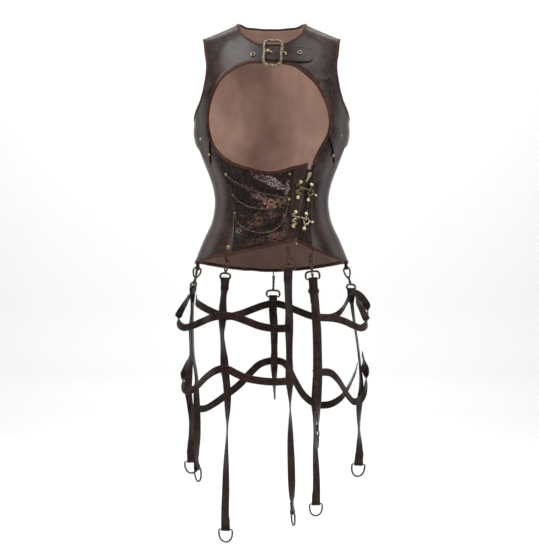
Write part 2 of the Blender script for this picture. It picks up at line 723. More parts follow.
# %% The leather group: soft colour change, pores and a fine grain
leather, give, out = group(
    "leather",
    [
        ("Color", "Color", sun(80, 70, 66)), ("Color", "Shade", sun(48, 40, 37)),
        ("Float", "Grain", 1.0),
    ],
    [("Color", "Color"), ("Float", "Roughness"), ("Float", "Height")],
)
where = node(leather, "TexCoord").outputs["Object"]
cloud = noise(leather, where, 11.0, 3.0, 0.6)
fine = noise(leather, where, 900.0, 2.0)
cells = {"Vector": where, "Scale": 620.0}
cells = node(leather, "TexVoronoi", cells, feature="DISTANCE_TO_EDGE").outputs["Distance"]
wear = noise(leather, where, 60.0, 4.0, 0.7)
shaded = level(leather, cloud, 0.38, 0.66)
tone = mix(leather, shaded, give.outputs["Shade"], give.outputs["Color"])
tone = mix(leather, level(leather, wear, 0.52, 0.75, 0, 0.1), tone, sun(116, 96, 84))
grain = maths(leather, "ADD", level(leather, cells, 0.0, 0.18), fine)
hand_out(
    leather,
    out,
    Color=tone,
    Roughness=level(leather, wear, 0.3, 0.7, 0.22, 0.33),
    Height=maths(leather, "MULTIPLY", grain, give.outputs["Grain"]),
)

# %% The crackle group: dark cracks round small raised flakes, with copper and pale patches
crackle, give, out = group(
    "crackle",
    [("Float", "Size", 190.0)],
    [("Color", "Color"), ("Float", "Metallic"), ("Float", "Roughness"), ("Float", "Height")],
)
where = node(crackle, "TexCoord").outputs["Object"]
bend = node(crackle, "TexNoise", {"Vector": where, "Scale": 70.0, "Detail": 3.0})
vectors = lambda operation, *values: maths(crackle, operation, *values, kind="VectorMath")
shifted = vectors("SUBTRACT", bend.outputs["Color"], (0.5, 0.5, 0.5))
shifted = node(crackle, "VectorMath", {0: shifted, "Scale": 0.012}, operation="SCALE").outputs[0]
sizes = {"Vector": vectors("ADD", where, shifted), "Scale": give.outputs["Size"]}
cracks = node(crackle, "TexVoronoi", sizes, feature="DISTANCE_TO_EDGE")
flakes = node(crackle, "TexVoronoi", sizes)
raised = level(crackle, cracks.outputs["Distance"], 0.02, 0.16)
shades = node(crackle, "SeparateColor", {0: flakes.outputs["Color"]})


def patch(x, z, wide, high, turn):
    """A soft patch on the front of the corset, 1 in its middle, by millimetres across and up."""
    off = vectors("SUBTRACT", where, (x * MM, 0, z * MM))
    flat = node(crackle, "VectorRotate", {"Vector": off, "Angle": turn}, rotation_type="Y_AXIS")
    near = vectors("MULTIPLY", flat.outputs[0], (1000 / wide, 0, 1000 / high))
    far = maths(crackle, "LENGTH", near, kind="VectorMath", out="Value")
    return level(crackle, maths(crackle, "ADD", far, bend.outputs[0]), 1.45, 0.6)


colour = sun(18, 10, 9)
colour = mix(crackle, level(crackle, shades.outputs[0], 0.4, 1.0, 0, 0.7), colour, sun(70, 42, 36))
slant = {"Vector": where, "Rotation": (0, 0.6, 0), "Scale": (60, 60, 240)}
streaks = noise(crackle, node(crackle, "Mapping", slant).outputs[0], 1.0, 4.0, 0.65)
streak = level(crackle, streaks, 0.36, 0.62)
shine = None
# x, z, wide, high, turn; the patch's colour; how much of it shows
PATCHES = [
    ((7, -354, 42, 13, -0.5), (196, 172, 170), 0.95),
    ((-18, -386, 42, 12, -0.35), (176, 136, 126), 0.85),
    ((-6, -401, 30, 15, 0.1), (204, 156, 134), 0.95),
    ((14, -394, 24, 16, 0.3), (154, 126, 98), 0.75),
    ((-38, -443, 32, 15, 0.1), (122, 94, 70), 0.85),
    ((-70, -459, 17, 10, -0.3), (128, 90, 84), 0.85),
    ((8, -472, 36, 15, 0.3), (146, 108, 94), 0.85),
    ((-24, -340, 38, 12, -0.4), (150, 124, 130), 0.7),
    ((34, -372, 8, 36, -0.1), (170, 148, 146), 0.75),
    ((30, -440, 7, 46, 0.1), (144, 116, 108), 0.75),
    ((-12, -423, 46, 13, 0.1), (136, 100, 96), 0.7),
    ((-34, -482, 46, 11, 0.2), (108, 76, 68), 0.75),
    ((-50, -366, 26, 10, -0.5), (112, 84, 82), 0.7),
    ((-74, -330, 22, 10, -0.6), (84, 62, 62), 0.6),
]
for spread, tint, strength in PATCHES:
    torn = maths(crackle, "MULTIPLY", shades.outputs[1], patch(*spread))
    torn = maths(crackle, "MULTIPLY", torn, streak)
    share = level(crackle, torn, 0.03, 0.24, 0, strength)
    colour = mix(crackle, share, colour, sun(*tint))
    shine = share if shine is None else maths(crackle, "MAXIMUM", shine, share)
uneven = level(crackle, shades.outputs[0], 0, 1, 0.3, 1)
hand_out(
    crackle,
    out,
    Color=mix(crackle, level(crackle, raised, 0, 1, 1, 0), colour, sun(12, 9, 9)),
    Metallic=level(crackle, shine, 0, 1, 0.12, 0.75),
    Roughness=level(crackle, shades.outputs[2], 0, 1, 0.16, 0.42),
    Height=maths(crackle, "MULTIPLY", raised, uneven),
)
print("crackle patches:", len(PATCHES))

# %% Groups for cloth, worn metal and the side panels
FLAKES = 250.0  # flakes of crackled leather to a metre
SMOOTH = (sun(54, 39, 34), sun(32, 22, 19))
# Where crackled leather ends on each side panel: a place on the cut, and the way up from it.
CORNERS = [(-136, -296, 0.83, 0.56), (130, -281, -0.1, 1.0)]


def coloured(light, shade, grain=1.0):
    return {"Color": light, "Shade": shade, "Grain": grain}


def weave_group():
    """A twill with uneven yarn, and a darker facing along the lining's hem."""
    tree, give, out = group(
        "weave",
        [("Color", "Color", sun(150, 118, 105))],
        [("Color", "Color"), ("Float", "Height")],
    )
    uv = node(tree, "TexCoord").outputs["UV"]
    twill = {"Vector": uv, "Scale": 420.0, "Distortion": 0.3}
    twill = node(tree, "TexWave", twill, bands_direction="DIAGONAL").outputs["Fac"]
    slub = level(tree, noise(tree, uv, 30.0, 4.0), 0.3, 0.7)
    dark = mix(tree, 1.0, give.outputs["Color"], (0.72, 0.70, 0.70, 1), "MULTIPLY")
    plain = mix(tree, slub, dark, give.outputs["Color"])
    high = node(tree, "SeparateXYZ", {0: node(tree, "TexCoord").outputs["Object"]}).outputs["Z"]
    facing = mix(tree, 1.0, plain, (0.36, 0.33, 0.31, 1), "MULTIPLY")
    edge = level(tree, high, -0.452, -0.462)
    hand_out(tree, out, Color=mix(tree, edge, plain, facing), Height=twill)
    return tree


def metal_group():
    """A metal with tarnish in spots."""
    tree, give, out = group(
        "worn metal",
        [("Color", "Color", None), ("Color", "Tarnish", None)],
        [("Color", "Color"), ("Float", "Roughness"), ("Float", "Height")],
    )
    spots = noise(tree, node(tree, "TexCoord").outputs["Object"], 260.0, 5.0, 0.7)
    share = level(tree, spots, 0.42, 0.62)
    colour = mix(tree, share, give.outputs["Color"], give.outputs["Tarnish"])
    rough = level(tree, spots, 0.35, 0.65, 0.24, 0.5)
    hand_out(tree, out, Color=colour, Roughness=rough, Height=spots)
    return tree


def cut_group():
    """Smooth leather whose top corner beside each tab is cut from the crackled leather."""
    kinds = [("Float", key) for key in ("Roughness", "Metallic", "Height")]
    tree, _, out = group("corner cut", [], [("Color", "Color")] + kinds)
    where = node(tree, "SeparateXYZ", {0: node(tree, "TexCoord").outputs["Object"]}).outputs
    shares = []
    for x, z, across, up in CORNERS:
        part = maths(tree, "MULTIPLY_ADD", where["X"], across / MM, -x * across)
        rise = maths(tree, "MULTIPLY_ADD", where["Z"], up / MM, -z * up)
        side = maths(tree, "MULTIPLY", where["X"], math.copysign(1 / MM, x))
        both = maths(tree, "MINIMUM", maths(tree, "ADD", part, rise), side)
        shares.append(level(tree, both, -0.4, 0.4))
    share = maths(tree, "MAXIMUM", *shares)
    plain = use_group(tree, leather, coloured(*SMOOTH)).outputs
    torn = use_group(tree, crackle, {"Size": FLAKES}).outputs
    values = {"Metallic": maths(tree, "MULTIPLY", share, torn["Metallic"])}
    for key in ("Roughness", "Height"):
        values[key] = node(tree, "Mix", {0: share, 2: plain[key], 3: torn[key]}).outputs[0]
    hand_out(tree, out, Color=mix(tree, share, plain["Color"], torn["Color"]), **values)
    return tree


def material(name, tree, bump, links=None, rise=0.4, **shader):
    """A material from a group, with its grain as a bump of so many millimetres."""
    made = bpy.data.materials.new(name)
    made.use_nodes = True
    nodes = made.node_tree
    bsdf = nodes.nodes["Principled BSDF"]
    for key, value in shader.items():
        bsdf.inputs[key.replace("_", " ")].default_value = value
    use = use_group(nodes, tree, links).outputs
    for key in ("Roughness", "Metallic"):
        if key in use:
            nodes.links.new(use[key], bsdf.inputs[key])
    nodes.links.new(use["Color"], bsdf.inputs["Base Color"])
    bump = {"Strength": bump, "Distance": rise * MM, "Height": use["Height"]}
    nodes.links.new(node(nodes, "Bump", bump).outputs[0], bsdf.inputs["Normal"])
    return made


def plain_material(name, colour, roughness):
    made = bpy.data.materials.new(name)
    made.use_nodes = True
    bsdf = made.node_tree.nodes["Principled BSDF"]
    bsdf.inputs["Base Color"].default_value = colour
    bsdf.inputs["Roughness"].default_value = roughness
    return made


def leathery(name, light, shade, bump, shine, grain=1.0):
    """A leather by its two colours, how rough its grain feels and how much it shines."""
    return material(name, leather, bump, coloured(light, shade, grain), Specular_IOR_Level=shine)


def metal(name, light, dark):
    return material(name, worn_metal, 0.15, {"Color": light, "Tarnish": dark}, Metallic=1.0)


weave, worn_metal, corner_cut = weave_group(), metal_group(), cut_group()
side_leather = material("side leather", corner_cut, 0.09, Specular_IOR_Level=0.25)
smooth_leather = leathery("smooth leather", *SMOOTH, 0.1, 0.25)
crackled_leather = material(
    "crackled leather", crackle, 1.0, {"Size": FLAKES}, 0.8, Specular_IOR_Level=0.18
)
strap_leather = leathery("strap leather", sun(44, 29, 25), sun(28, 18, 15), 0.2, 0.18)
bound_edge = leathery("bound edge", sun(74, 42, 31), sun(50, 27, 20), 0.35, 0.12)
suede = leathery("suede side", sun(92, 74, 64), sun(70, 56, 48), 0.6, 0.5, 2.0)
lining_cloth = material(
    "lining", weave, 0.25, {"Color": sun(178, 140, 124)}, Roughness=0.7, Sheen_Weight=0.2
)
hole = plain_material("hole", sun(14, 11, 10), 0.8)
tape = plain_material("zip tape", sun(34, 27, 25), 0.8)
thread = material("thread", weave, 0.3, {"Color": sun(70, 44, 32)}, Roughness=0.6)
antique_brass = metal("antique brass", sun(186, 166, 130), sun(66, 54, 38))
chain_metal = metal("chain metal", sun(136, 118, 106), sun(50, 38, 33))
pale_gold = metal("pale gold", sun(232, 222, 190), sun(150, 132, 98))
old_gold = metal("old gold", sun(186, 170, 144), sun(60, 48, 37))
buckle_brass = metal("buckle brass", sun(160, 144, 124), sun(36, 29, 24))
dark_brass = metal("dark brass", sun(134, 118, 86), sun(44, 36, 26))
bronze = metal("dark bronze", sun(96, 82, 66), sun(30, 24, 20))
gunmetal = metal("gunmetal", sun(104, 98, 92), sun(38, 34, 31))
print(len(bpy.data.materials), "materials")

# %% [markdown]
# ## Floor, backdrop and light
# A shallow cove of paper curves from the floor up behind the jacket, and large soft lamps
# stand in front, above and a little behind it, so that leather shows long soft sheens.

# %% Studio
FLOOR, COVE_HALF = -1.262, 5
# y, z
COVE = [
    (-4.0, FLOOR), (3.0, FLOOR), (3.35, FLOOR + 0.05), (3.6, FLOOR + 0.22), (3.7, FLOOR + 0.55),
    (3.7, 3.4),
]
paper = plain_material("paper", (0.9, 0.9, 0.9, 1), 0.9)
bm = bmesh.new()
bmesh.ops.create_grid(bm, x_segments=1, y_segments=len(COVE) - 1, size=1)
for i, v in enumerate(bm.verts):
    v.co = ((-COVE_HALF, COVE_HALF)[i % 2], *COVE[i // 2])
mesh = bpy.data.meshes.new("cove")
bmesh.ops.recalc_face_normals(bm, faces=bm.faces)
bm.to_mesh(mesh)
bm.free()
mesh.materials.append(paper)
mesh.shade_smooth()
cove = bpy.data.objects.new("cove", mesh)
bpy.context.collection.objects.link(cove)

world = bpy.data.worlds.new("studio")
world.use_nodes = True
world.node_tree.nodes["Background"].inputs[0].default_value = (1, 1, 1, 1)
world.node_tree.nodes["Background"].inputs[1].default_value = 0.22
bpy.context.scene.world = world


def softbox(name, place, towards, size, watts):
    """A rectangular lamp that faces a point."""
    lamp = bpy.data.lights.new(name, "AREA")
    lamp.shape, lamp.size, lamp.size_y, lamp.energy = "RECTANGLE", *size, watts
    box = bpy.data.objects.new(name, lamp)
    box.location = place
    box.rotation_euler = (Vector(towards) - Vector(place)).to_track_quat("-Z", "Y").to_euler()
    bpy.context.collection.objects.link(box)


MIDDLE = (0, 0, -0.4)
softbox("key", (-1.6, -2.0, 1.3), MIDDLE, (0.9, 1.3), 40)
softbox("fill", (2.0, -1.7, 0.2), MIDDLE, (1.0, 1.8), 24)
softbox("top right", (-0.75, -0.8, 1.7), (0, 0, -0.2), (1.2, 0.9), 27)
softbox("top left", (0.9, -0.7, 1.6), (0, 0, -0.2), (1.0, 0.8), 11)
softbox("right side", (-1.7, 0.5, 0), MIDDLE, (0.8, 2.2), 8)
softbox("left side", (1.7, 0.5, 0), MIDDLE, (0.8, 2.2), 8)
softbox("paper light", (0, 1.6, 3.0), (0, 3.6, -0.4), (4.4, 1.0), 110)

# %% [markdown]
# ## Making cloth from grids
# Every panel, edge and strap is a grid of points bent to shape. Leather is cut flat, skived
# thin along its seams and turned under, so a panel's border rolls down a little and each seam
# reads as a soft valley. Solidify gives the 2 mm wall, with the suede side inside.

# %% Makers of meshes


def publish(bm, name, materials, node_names=(), ride="vest", slot=None):
    """Turns a finished bmesh into a piece that rides a body and may stand for solid nodes."""
    mesh = bpy.data.meshes.new(name)
    bm.normal_update()
    bm.to_mesh(mesh)
    bm.free()
    for made in materials:
        mesh.materials.append(made)
    mesh.shade_smooth()
    piece = bpy.data.objects.new(name, mesh)
    bpy.context.collection.objects.link(piece)
    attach(piece, ride)
    if node_names:
        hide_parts(*node_names)
    return piece


def dress(bm, node_name, ending, materials, **keep):
    """Publishes the finer form of one solid node."""
    return publish(bm, node_name + ending, materials, [node_name], **keep)


def spans(P):
    """How long each row and each column of a grid is."""
    return [np.linalg.norm(np.diff(P, axis=axis), axis=2).sum(axis) for axis in (1, 0)]


def bent_grid(points, closed_round=False, closed_along=False):
    """A grid mesh with the given points, rows by columns, and a UV map in metres."""
    P = np.array(points) * MM
    if closed_round:
        P = np.concatenate([P, P[:, :1]], 1)
    if closed_along:
        P = np.concatenate([P, P[:1]], 0)
    rows, columns = P.shape[:2]
    bm = bmesh.new()
    uv = bm.loops.layers.uv.new("UVMap")
    bmesh.ops.create_grid(bm, x_segments=columns - 1, y_segments=rows - 1, size=1, calc_uvs=True)
    wide, high = (span.mean() for span in spans(P))
    for face in bm.faces:
        for loop in face.loops:
            loop[uv].uv = (loop[uv].uv[0] * wide, loop[uv].uv[1] * high)
    for vert, p in zip(bm.verts, P.reshape(-1, 3)):
        vert.co = p
    if closed_round or closed_along:
        bmesh.ops.remove_doubles(bm, verts=bm.verts, dist=1e-6)
    return bm


def tube(rings, loop=False):
    """A closed tube through rings of points."""
    bm = bent_grid(rings, closed_round=True, closed_along=loop)
    if not loop:
        bmesh.ops.holes_fill(bm, edges=[e for e in bm.edges if e.is_boundary], sides=0)
    bmesh.ops.recalc_face_normals(bm, faces=bm.faces)
    return bm


def join(bm, part):
    """Moves a finished part into a bmesh."""
    scrap = bpy.data.meshes.new("part")
    part.to_mesh(scrap)
    part.free()
    bm.from_mesh(scrap)
    bpy.data.meshes.remove(scrap)


def area_of(P):
    """A grid's area in square metres."""
    a, b = P[1:, 1:] - P[:-1, :-1], P[1:, :-1] - P[:-1, 1:]
    return float(np.linalg.norm(np.cross(a, b), axis=2).sum() / 2) * MM * MM


def flat_of(P):
    """The widest and the longest line of a grid, in metres."""
    wide, high = spans(P)
    return float(wide.max()) * MM, float(high.max()) * MM


cuts = {}
LEAST_SHARE = 0.31  # of its box, for a long curved piece


def declare(piece, P):
    """Declares a cloth piece by the flat box it is cut from and its own area."""
    box, area = flat_of(P), area_of(P)
    area = min(max(area, LEAST_SHARE * box[0] * box[1]), box[0] * box[1])
    cuts[piece.name] = [round(box[0] * 1000), round(box[1] * 1000), round(area * 1e4)]


def declare_strip(piece, wide, length):
    """Declares a straight strip by its width in millimetres and its length in metres."""
    cuts[piece.name] = [wide, round(length * 1000), round(wide * length * 10)]


def with_border(grid, wide):
    """Adds a line of places just inside each border, so that it can roll down sharply."""

    def share(gap):
        size = np.linalg.norm(gap, axis=-1, keepdims=True)
        return np.clip(wide / np.maximum(size, 1e-6), 0, 0.6)

    for axis in (0, 1):
        G, p = np.moveaxis(grid, axis, 0), np.moveaxis(on_body(grid), axis, 0)
        near = G[0] + (G[1] - G[0]) * share(p[1] - p[0])
        far = G[-1] + (G[-2] - G[-1]) * share(p[-1] - p[-2])
        G = np.concatenate([G[:1], near[None], G[1:-1], far[None], G[-1:]])
        grid = np.moveaxis(G, 0, axis)
    return grid


ROLL, ROLL_WIDE = 0.75, 1.5
flush = lambda p: 0.0


def leather_panel(name, grid, materials, out=flush, wall=LEATHER, roll=ROLL, slot="smooth_leather"):
    """A panel with a thin rolled border, lifted off the body's surface by out."""
    s = stand(with_border(grid, ROLL_WIDE))
    drop = np.zeros(s["p"].shape[:2])
    drop[0] = drop[-1] = drop[:, 0] = drop[:, -1] = roll
    P = s["p"] + s["n"] * (out(s["p"]) + wall / 2 - drop)[..., None]
    bm = bent_grid(P)
    bm.normal_update()
    outwards = s["n"].reshape(-1, 3)
    if sum(f.normal.dot(Vector(outwards[f.verts[0].index])) for f in bm.faces) < 0:
        bmesh.ops.reverse_faces(bm, faces=bm.faces)
    piece = dress(bm, name, "_leather", materials, slot=slot)
    wall_of = piece.modifiers.new("wall", "SOLIDIFY")
    wall_of.thickness, wall_of.offset = (wall - 0.1) * MM, -1
    if len(materials) > 1:
        wall_of.material_offset, wall_of.material_offset_rim = 1, 0
    declare(piece, P)


def lap(p):
    """How far a yoke stands out where its tab lies over the side panel."""
    t = np.clip((LAP_TOP - p[..., 2]) / (LAP_TOP - LAP_FULL), 0, 1)
    return LAP * t**2 * (3 - 2 * t)
for name, grid in grids.items():
    crackled = name in ("front_panel", "placket_left")
    face = side_leather if name.startswith("side") else smooth_leather
    face = crackled_leather if crackled else face
    out = lap if name.startswith("yoke") else flush
    slot = "crackled_leather" if crackled else "smooth_leather"
    leather_panel(name, grid, [face, suede], out=out, slot=slot)
HEM_ROWS, HEM_RISE = 13, 0.019  # the lining stops above the hem's binding
lining_grid = grids["back"].copy()
lining_grid[-HEM_ROWS:, :, 1] -= np.linspace(0, HEM_RISE, HEM_ROWS)[:, None]
lining_out = lambda p: -LINING_IN
leather_panel(
    "lining_back", lining_grid, [lining_cloth], out=lining_out, wall=LINING, roll=0, slot="lining"
)
print("panels:", len(grids) + 1)

# %% [markdown]
# ## Bound edges
# Each free edge is wrapped in a narrow strip of thin leather, folded over and stitched down.
# The strip is rounded like a piping at the very edge and lies flat on both sides.

# %% Bindings and the hem's loops
BIND = [(0.0, 0.0), (0.02, 0.9), (0.09, 1.45), (0.25, 1.75), (0.6, 1.75), (0.94, 1.7), (1.0, 1.45)]
BIND_ROUND = BIND + [(far, -out) for far, out in BIND[:0:-1]]


def bound_edge_rings(edge):
    far = stand(inside(edge, BIND_WIDE))
    rings = []
    for share, out in BIND_ROUND:
        p = edge["p"] + (far["p"] - edge["p"]) * share
        n = unit(edge["n"] * (1 - share) + far["n"] * share)
        rings.append(p + n * out)
    return np.stack(rings, 1)


bound = {"neck": neck, "armhole_left": arm[1], "armhole_right": arm[-1], "bust": bust}
for name, edge in bound.items():
    bm = tube(bound_edge_rings(edge), loop=name != "bust")
    piece = dress(bm, "binding_" + name, "_strip", [bound_edge], slot="bound_edge")
    declare_strip(piece, 2 * BIND_WIDE, float(lengths(edge["p"])[-1]) * MM)
print("bound edges:", list(bound))

# %% [markdown]
# ## Straps and bands
# A strap is cut straight from thick leather, so it twists and bows but keeps its width. Both
# its ends are folded round a bar, the free end stitched down on the back. Bands are the same
# stock cut wavy, and hold the straps apart in two rings.

# %% Makers of straps
STRAP_WIDE, BAND_WIDE, STRAP_THICK = 19.5, 17, 2.0
STRAPS = {
    "side_right": {
        "eye": (-168, -33, -541), "turn": 10, "loop": (26, 12),
        "rows": [
            (-179, -33, -585, 66), (-181.5, -32, -604, 74), (-182.5, -31, -650, 74),
            (-182, -29, -694, 76), (-180, -27, -740, 78), (-175, -25, -775, 74),
            (-172.5, -24, -798, 70), (-173, -24, -820, 54), (-172, -24, -850, 44),
            (-171, -24, -890, 36), (-171, -23, -930, 42), (-172, -22, -958, 60),
            (-172, -21, -985, 66), (-170, -20, -1000, 66),
        ],
    },
    "back_right": {
        "eye": (-173, 22, -544), "turn": 100, "loop": (26, 12),
        "rows": [
            (-180, 26, -588, 80), (-185, 29, -630, 78), (-190, 30, -680, 76),
            (-189, 31, -725, 76), (-188.5, 31, -750, 68), (-192, 32, -772, 38),
            (-194, 33, -800, 24), (-195, 34, -820, 24), (-193, 35, -842, 42),
            (-189.5, 35, -870, 50), (-187.5, 35, -895, 58), (-188, 35, -930, 54),
            (-188, 34, -955, 30), (-187, 33, -978, 10), (-186.5, 33, -989, 8),
        ],
    },
    "front_right": {
        "eye": (-100.5, -96, -527), "turn": 62, "loop": (26, 13),
        "rows": [
            (-104, -95, -566, -30), (-105, -94, -590, -44), (-107.5, -92, -617, -40),
            (-109, -91, -645, -16), (-109.5, -91, -668, -40), (-109.5, -91, -690, -62),
            (-107, -91, -722, -50), (-105.5, -91, -744, -26), (-104.5, -91, -766, -14),
            (-101, -91, -790, -30), (-98, -91, -824, -32), (-97.5, -91, -856, -50),
            (-98, -91, -896, -80), (-99.5, -91, -944, -68), (-101, -91, -990, -46),
            (-102, -91, -1040, -32), (-103.5, -91, -1090, -24), (-103, -91, -1124, -14),
        ],
    },
    "back": {
        "eye": (5, 110, -561), "turn": 84, "loop": (31, 15),
        "rows": [
            (3.5, 109, -608, 6), (3, 108, -640, 6), (4.5, 107, -665, 12), (5.5, 106, -690, 24),
            (5.5, 106, -735, 40), (5.5, 106, -764, 26), (5.5, 106, -800, 56),
            (5.5, 106, -826, 74), (6.5, 106, -852, 82),
        ],
    },
    "centre": {
        "eye": (36.5, -108, -499), "turn": 84, "loop": (28, 13),
        "rows": [
            (36.5, -108, -546, 10), (36, -108, -570, 22), (36.5, -108, -612, 32),
            (38, -108, -645, 26), (38, -108, -672, 14), (38, -108, -700, 34),
            (38, -108, -740, 42), (38.5, -108, -768, 30), (39, -108, -790, 16),
            (39, -108, -812, 52), (39.5, -108, -850, 84), (40, -108, -880, 68),
            (40.5, -108, -922, 46), (42.5, -108, -978, 32), (43.5, -108, -1022, 36),
            (44, -108, -1056, 60), (46.5, -108, -1084, 76),
        ],
    },
    "front_left": {
        "eye": (86.5, -100, -517), "turn": 74, "loop": (31, 17),
        "rows": [
            (91.5, -98, -566, 6), (93.5, -97, -590, 12), (96, -96, -618, 20),
            (98.5, -95, -650, 14), (101, -95, -682, 18), (102, -95, -724, 14),
            (103, -95, -776, 12), (103, -95, -806, 30), (102.5, -95, -838, 42),
            (102, -95, -868, 66), (102, -95, -898, 80), (102, -95, -914, 82),
        ],
    },
    "back_left": {
        "eye": (97, 98, -555), "turn": 84, "loop": (26, 12),
        "rows": [
            (100, 96, -600, 30), (103, 92, -650, 24), (104, 88, -710, 40), (104, 86, -790, 40),
            (103, 85, -830, 26), (102, 85, -857, 22), (101, 86, -890, 60), (101.5, 87, -930, 68),
            (102.5, 88, -970, 54), (104, 88, -1006, 40), (105.5, 88, -1050, 28),
            (105, 88, -1098, 14),
        ],
    },
    "side_left": {
        "eye": (169.5, -33, -541), "turn": -40, "loop": (26, 12),
        "rows": [
            (181, -33, -590, 40), (180.5, -32, -612, 60), (184, -31, -645, 68),
            (190, -30, -685, 74), (196, -29, -728, 74), (201, -28, -775, 70),
            (203, -27, -810, 56), (199, -26, -850, 42), (197.5, -25, -880, 60),
            (198, -24, -912, 74), (199, -24, -946, 42), (199, -24, -975, 18),
            (198, -24, -988, 16),
        ],
    },
}
PLAIN_END = "back"  # the strap without a ring
BANDS = {
    "upper_front_right": [
        (46, -115, -674, 0), (18, -115.5, -675.5, 4), (-6, -114, -674, 6), (-30, -111, -669, 6),
        (-55, -107, -659.5, 8), (-80, -104, -650.5, 8), (-97, -102, -647.5, 4),
        (-109, -98.5, -647, 4), (-121, -93, -649, 4), (-135, -83, -652.5, 4),
        (-158, -61, -662.5, 8), (-182, -48, -672.5, 14), (-199, -37, -676, 18),
        (-211, -24, -669, 10), (-214, -16, -653, 0), (-205, -18, -634, -14),
        (-194.5, -24, -617, -20), (-188, -31, -606, -20),
    ],
    "upper_back": [
        (-171.5, -31, -609, 0), (-173.5, -6, -614, 8), (-172.5, 26, -622, 12),
        (-156, 50, -634, 10), (-133, 72, -646, 6), (-110, 86, -655, 0), (-75, 101, -649, -6),
        (-40, 110.5, -636, -6), (-16, 114.5, -628, 0), (6, 115.5, -624.5, 0),
        (30, 113.5, -629, 4), (63, 108, -642, 6), (92, 104, -653, 4), (108, 102, -656, 2),
        (120, 96, -658, 0), (134, 82, -657, -2), (149, 64, -652.5, -6), (164, 40, -638, -12),
        (174, 16, -618, -12), (181, 4, -603, -4), (190, 3, -598, 4), (203, 9, -604, 8),
        (215, 14, -618, 6), (222, 14, -633, 2), (222, 8, -646, 0), (219.5, -3, -655, 0),
        (217.5, -11, -659, 0),
    ],
    "upper_front_left": [
        (90, -102, -649.5, 0), (104, -101, -651, 0), (119, -93, -652, -4), (142, -78, -654.5, -6),
        (166, -60, -662, -10), (185, -48, -671, -14), (203, -36, -677, -18),
        (214, -24, -672, -10), (217.5, -16, -661, 0), (213, -16, -650, 8), (204, -19, -632, 16),
        (194, -26, -614, 20), (191, -32, -605, 20),
    ],
    "lower_front_right": [
        (45, -116.5, -790, 0), (34, -117.3, -791.5, 0), (18, -116, -793, 0), (-6, -115, -793, 4),
        (-31, -112, -790.5, 6), (-55, -108, -786, 8), (-80, -104, -775.5, 8),
        (-97, -101.5, -767, 4), (-110, -97, -765.5, 4), (-128, -85, -772, 4),
        (-150, -64, -789, 10), (-170, -48, -810, 16), (-186, -38, -820, 22),
        (-198, -27, -818, 20), (-204, -15, -802, 8), (-201, -10, -783, 0), (-196, -13, -767, -8),
        (-189.5, -20, -753, -14), (-186, -27, -742, -14),
    ],
    "lower_back": [
        (-188, 24, -862, 0), (-179, 36, -867, 6), (-156, 54, -869, 8), (-140, 66, -862, 4),
        (-110, 82, -842, -6), (-75, 95, -815, -10), (-51, 103, -789.5, -8), (-28, 109, -769, -4),
        (-4, 112.5, -761.5, 0), (18, 112, -761.5, 0), (34, 108, -769.5, 6), (56, 102, -809, 14),
        (75, 98, -840, 12), (96, 97.5, -858.5, 6), (109, 95, -863.5, 2), (121, 88, -864.5, -2),
        (140, 72, -860, -6), (162, 50, -844, -12), (177, 26, -819, -18), (187, 4, -794, -20),
        (193, -12, -775, -16), (194.5, -25, -763, -10),
    ],
    "lower_front_left": [
        (92, -102, -776, 0), (104, -101, -774, 0), (114, -98, -773, 0), (131, -88, -775.5, -4),
        (146, -77, -788.5, -10), (161, -64, -811, -14), (174, -54, -832, -18),
        (187, -45, -844, -22), (200, -38, -841, -20), (211, -27, -826, -12), (216, -18, -803, -4),
        (215.5, -15, -780, 0), (212, -15, -762, 6), (209.5, -19, -747, 12),
        (206.5, -26, -735, 12),
    ],
}
# along, off
FOLD = [
    (24, 1.3), (12, 1.4), (5, 2.7), (0, 3.1), (-2.2, 2.2), (-3.1, 0), (-2.2, -2.2), (0, -3.1),
    (5, -2.7), (12, -1.4), (23, -1.4),
]
FOLD_CLEAR, STRAP_EVERY = 29, 4
FOLD_OFF = -1.4  # a strap's free stretch goes on from its fold's last row
EDGE_ROUND = [(0, 1), (0.45, 0.86), (0.86, 0.45), (1, 0)]


def upright(turn):
    """The level direction at a turn in degrees."""
    turn = np.radians(turn)
    return np.stack([np.cos(turn), np.sin(turn), np.zeros_like(turn, float)], -1)


def square(v, to):
    return unit(v - (v * to).sum(-1, keepdims=True) * to)


def strip_section(wide, thick):
    """A strap's section: across and off, with rounded edges, once round."""
    r = thick / 2
    quarter = [(wide / 2 - r + r * x, r * y) for x, y in EDGE_ROUND]
    top = [(-x, y) for x, y in quarter[::-1]] + [(-wide / 6, r), (wide / 6, r)] + quarter
    return np.array(top + [(x, -y) for x, y in top[::-1]][1:-1])


def strip_rings(points, across, wide, thick):
    """A strap's section set along a line, square to it."""
    run = heading(points)
    across = square(across, run)
    face = np.cross(run, across)
    section = strip_section(wide, thick)[None]
    return points[:, None] + section[..., :1] * across[:, None] + section[..., 1:] * face[:, None]


def ribbon(points, across, wide, name):
    """A strap or band along a line, lying the way that across says."""
    rings = strip_rings(points, across, wide, STRAP_THICK)
    piece = dress(tube(rings), name, "_leather", [strap_leather], slot="strap_leather")
    declare_strip(piece, wide, float(lengths(points)[-1]) * MM)


def fold_at(bar, along, across):
    """The line of a strap's end folded round a bar."""
    off = unit(np.cross(across, along))
    rows = np.array(FOLD, float)
    fine = smooth_run(np.c_[rows, np.zeros(len(rows))], 1.2)[0]
    return bar + fine[:, :1] * along + fine[:, 1:2] * off


def strap_run(rows):
    """A strap's line from rows of x, y, z and turn."""
    return smooth_run([r[:3] for r in rows], STRAP_EVERY, [r[3] for r in rows])


